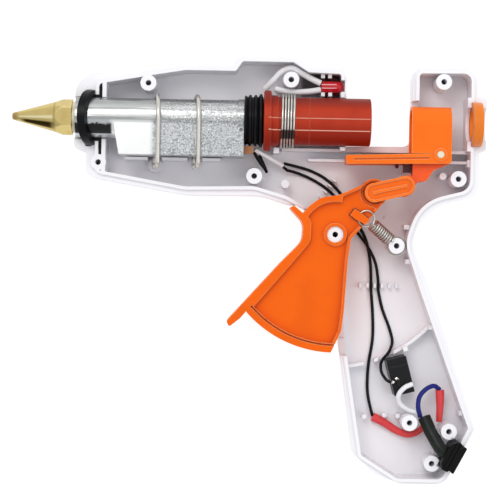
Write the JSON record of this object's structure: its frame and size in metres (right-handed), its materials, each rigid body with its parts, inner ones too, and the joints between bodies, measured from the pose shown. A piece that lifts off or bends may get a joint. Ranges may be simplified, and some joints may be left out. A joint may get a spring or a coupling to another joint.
{
  "type": "glue gun",
  "caption": "Trigger-fed hot glue gun laid open: far casing half with heater, feed sleeve, trigger linkage, return spring, lamp, rocker switch and wiring.",
  "frame": {"origin": "under the middle of the whole gun, on the outer face of the casing half that it lies on", "axes": "+X along the feed axis from the nozzle towards the stick entry, +Y from the handle up to the barrel, +Z from the casing's outer face towards its open side"},
  "size_m": [0.2016, 0.1816, 0.0299],
  "materials": {
    "casing": "satin moulding",
    "brass": "turned, bright",
    "washer": "satin",
    "rubber_black": "satin",
    "cast_aluminium": "as cast",
    "heater_wrap": "film wrap",
    "spring_steel": "bright wire",
    "sleeve_red": "satin",
    "orange_amber": "slightly clear",
    "orange_feed": "satin",
    "orange_lever": "satin",
    "pin": "satin",
    "orange_trigger": "satin",
    "neon_glass": "clear",
    "lens_red": "clear",
    "white_sleeve": "silicone",
    "white_wire": "satin",
    "black_plastic": "satin",
    "black_wire": "satin",
    "blue_wire": "satin",
    "heat_shrink": "satin",
    "cable_black": "satin",
    "gland_black": "satin"
  },
  "bodies": {
    "housing": {"housing_half": "casing", "nozzle": "brass", "nozzle_washer": "washer", "nose_grommet": "rubber_black", "heating_chamber": "cast_aluminium", "ptc_heater": "heater_wrap", "chamber_clip_front": "spring_steel", "chamber_clip_rear": "spring_steel", "rear_seal": "rubber_black", "feed_sleeve": "sleeve_red", "sleeve_clamp": "spring_steel", "guide_bush": "orange_amber", "return_spring": "spring_steel", "neon_lamp": "neon_glass", "lamp_lens": "lens_red", "lamp_sleeve_upper": "white_sleeve", "lamp_sleeve_lower": "white_sleeve", "heater_lead_sleeve": "white_sleeve", "heater_lead_loop": "black_wire", "heater_lead_a": "black_wire", "heater_lead_b": "black_wire", "switch_body": "black_plastic", "switch_lead": "white_wire", "mains_lead_blue": "blue_wire", "heat_shrink_left": "heat_shrink", "heat_shrink_right": "heat_shrink", "mains_cable": "cable_black", "cable_gland": "gland_black"},
    "trigger": {"trigger": "orange_trigger"},
    "trigger_link": {"trigger_link": "orange_feed"},
    "carriage": {"carriage": "orange_feed", "lever_pin": "pin"},
    "clamp_lever": {"clamp_lever": "orange_lever"},
    "switch_rocker": {"switch_rocker": "black_plastic"}
  },
  "joints": [
    {"name": "trigger_hinge", "type": "hinge", "parent": "housing", "child": "trigger", "pos_m": [0.0369, 0.0146, 0.017], "axis": [0, 0, 1], "range_deg": [0, 28], "stiffness_Nm_per_rad": 0.6, "springref_deg": -11.46, "deforming": ["return_spring"]},
    {"name": "carriage_slide", "type": "slide", "parent": "housing", "child": "carriage", "axis": [-1, 0, 0], "range_m": [0, 0.0088]},
    {"name": "link_hinge", "type": "hinge", "parent": "trigger", "child": "trigger_link", "pos_m": [0.053, 0.0325, 0.023], "axis": [0, 0, 1], "range_deg": [-49, 0]},
    {"name": "lever_hinge", "type": "hinge", "parent": "carriage", "child": "clamp_lever", "pos_m": [0.0806, 0.049, 0.017], "axis": [0, 0, 1], "range_deg": [-4.3, 0]},
    {"name": "rocker_hinge", "type": "hinge", "parent": "housing", "child": "switch_rocker", "pos_m": [0.0665, -0.0454, 0.0032], "axis": [0.9659, 0.2588, 0], "range_deg": [0, 12]}
  ],
  "couplings": [
    {"joint": "carriage_slide", "follows": "trigger_hinge", "m_per_rad": 0.017532},
    {"joint": "link_hinge", "follows": "trigger_hinge", "ratio": -1.72},
    {"joint": "lever_hinge", "follows": "trigger_hinge", "ratio": -0.15}
  ]
}
